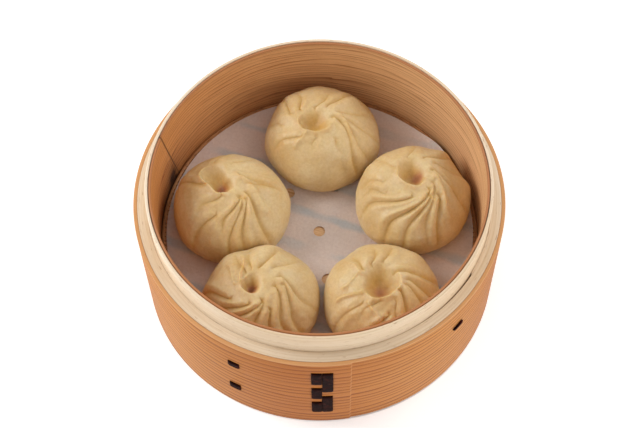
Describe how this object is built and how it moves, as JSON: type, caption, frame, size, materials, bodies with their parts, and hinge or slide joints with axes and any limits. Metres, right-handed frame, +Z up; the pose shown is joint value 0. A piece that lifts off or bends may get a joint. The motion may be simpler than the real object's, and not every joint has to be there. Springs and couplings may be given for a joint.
{
  "type": "steamer basket of soup dumplings",
  "caption": "Round bamboo steamer tier with a raised collar, slatted floor and perforated paper, holding pleated soup dumplings gathered round open tops.",
  "frame": {"origin": "centre of the basket's foot, on the table", "axes": "+Z up through the basket's middle, the laced side of the wall faces -Y"},
  "size_m": [0.15, 0.1511, 0.068],
  "materials": {
    "cedar": "planed cedar veneer with fine straight grain round the hoop, satin",
    "bamboo": "pale split bamboo hoop with fine fibres along it, satin",
    "slat_wood": "orange-brown bamboo slats, dull",
    "paper": "thin damp steaming paper, slightly translucent, matte",
    "bark": "dark cherry-bark strip, dull",
    "dough": "steamed wheat dough, cream yellow, soft satin, slightly translucent"
  },
  "bodies": {
    "root": {"outer_wall": "cedar", "ledge_hoop": "bamboo", "collar_hoop": "bamboo", "lining": "cedar", "floor_ring": "slat_wood", "slat_1": "slat_wood", "slat_2": "slat_wood", "slat_3": "slat_wood", "slat_4": "slat_wood", "slat_5": "slat_wood", "slat_6": "slat_wood", "slat_7": "slat_wood", "slat_8": "slat_wood", "paper_liner": "paper", "stitch_left_upper": "bark", "stitch_left_lower": "bark", "stitch_tall_left": "bark", "stitch_tall_right": "bark", "stitch_middle": "bark", "stitch_low_left": "bark", "stitch_low_right": "bark", "stitch_torn": "bark", "dumpling_far": "dough", "dumpling_left": "dough", "dumpling_right": "dough", "dumpling_near_left": "dough", "dumpling_near_right": "dough"}
  },
  "joints": []
}
